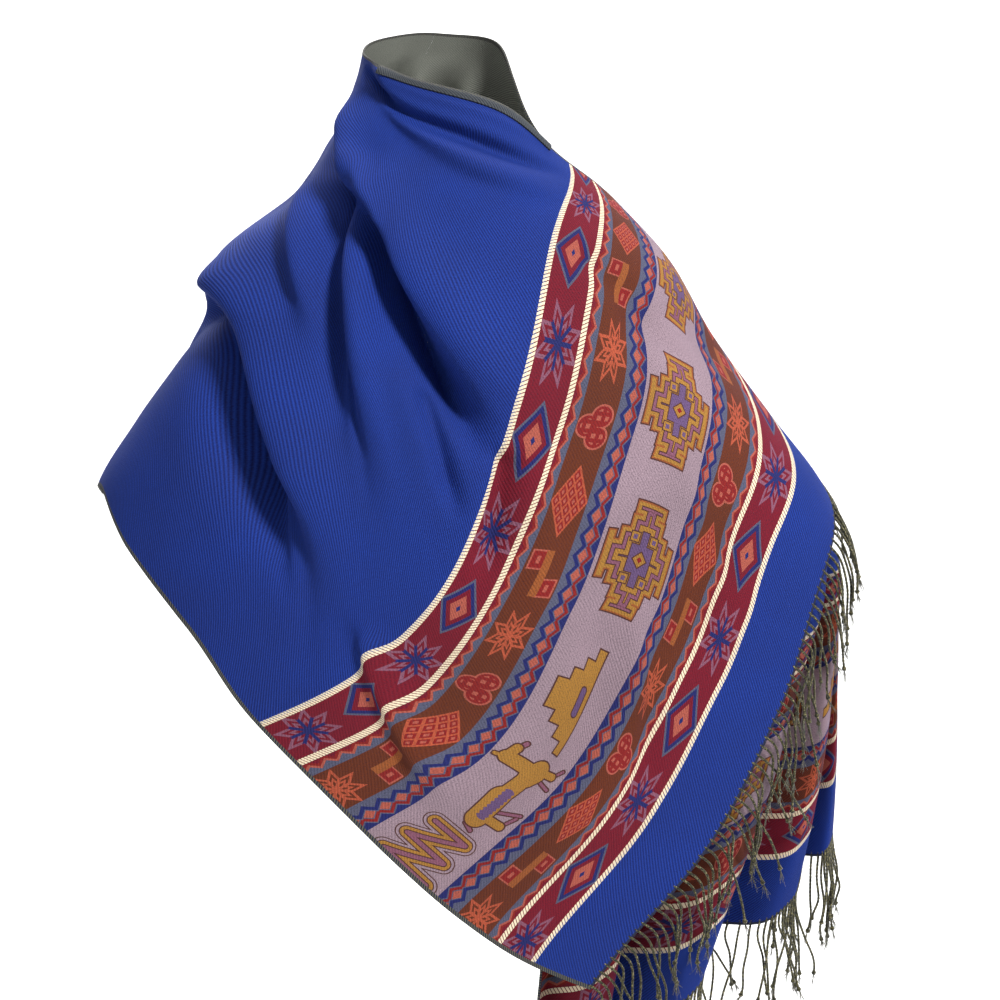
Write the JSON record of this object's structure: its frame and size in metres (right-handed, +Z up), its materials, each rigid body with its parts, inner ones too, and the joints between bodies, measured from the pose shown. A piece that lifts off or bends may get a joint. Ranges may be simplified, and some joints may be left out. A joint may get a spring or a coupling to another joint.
{
  "type": "fringed shawl scarf",
  "caption": "Long reversible twill scarf with patterned bands and a twisted fringe, worn wrapped round the neck and shoulders.",
  "frame": {"origin": "base of the neck, midway between the shoulders, where the wearer carries the scarf", "axes": "+Z up, -Y towards the viewer, +X towards the viewer's right"},
  "size_m": [0.6571, 0.3165, 1.0001],
  "materials": {
    "blue_twill": "matt ribbed twill with a faint nap",
    "banded_twill": "matt blue twill with a woven patterned band",
    "olive_twill": "matt grey-green reverse of the twill",
    "olive_yarn": "twisted two-ply yarn, slightly fuzzy"
  },
  "bodies": {
    "root": {"front_drape": "banded_twill", "shoulder_wrap": "blue_twill", "back_panel": "blue_twill", "under_drape": "banded_twill", "turned_neck_edge": "olive_twill", "front_fringe": "olive_yarn", "under_fringe": "olive_yarn"}
  },
  "joints": []
}
